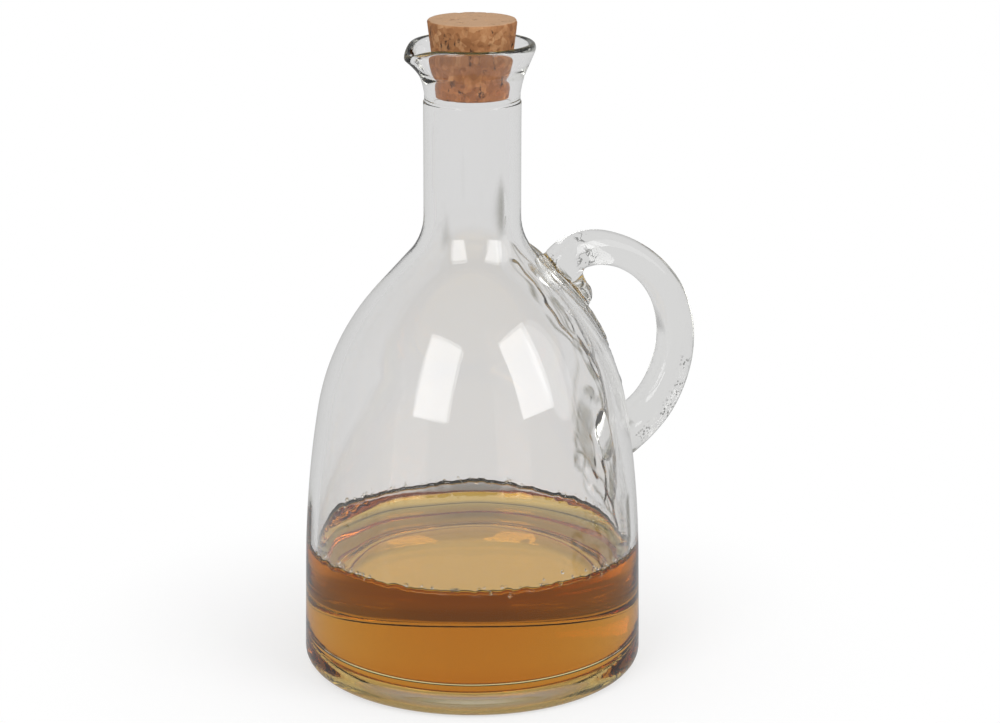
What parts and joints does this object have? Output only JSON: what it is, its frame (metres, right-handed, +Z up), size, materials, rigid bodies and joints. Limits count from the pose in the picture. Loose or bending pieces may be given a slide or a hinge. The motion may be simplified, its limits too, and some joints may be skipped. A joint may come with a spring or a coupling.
{
  "type": "glass oil bottle with pouring lip",
  "caption": "Blown glass oil bottle with a pulled pouring lip, a loop handle and a tapered cork, part filled with amber oil.",
  "frame": {"origin": "centre of the base, on the plane that the bottle stands on", "axes": "+Z up along the bottle's own axis, +X towards the handle, -X towards the pouring lip"},
  "size_m": [0.1387, 0.1126, 0.2158],
  "materials": {
    "glass": "clear blown glass, fire polished, faintly grey green where thick",
    "cork": "natural cork, fine grained with dark pores",
    "oil": "clear amber oil"
  },
  "bodies": {
    "root": {"bottle": "glass", "cork_stopper": "cork", "oil": "oil"}
  },
  "joints": []
}
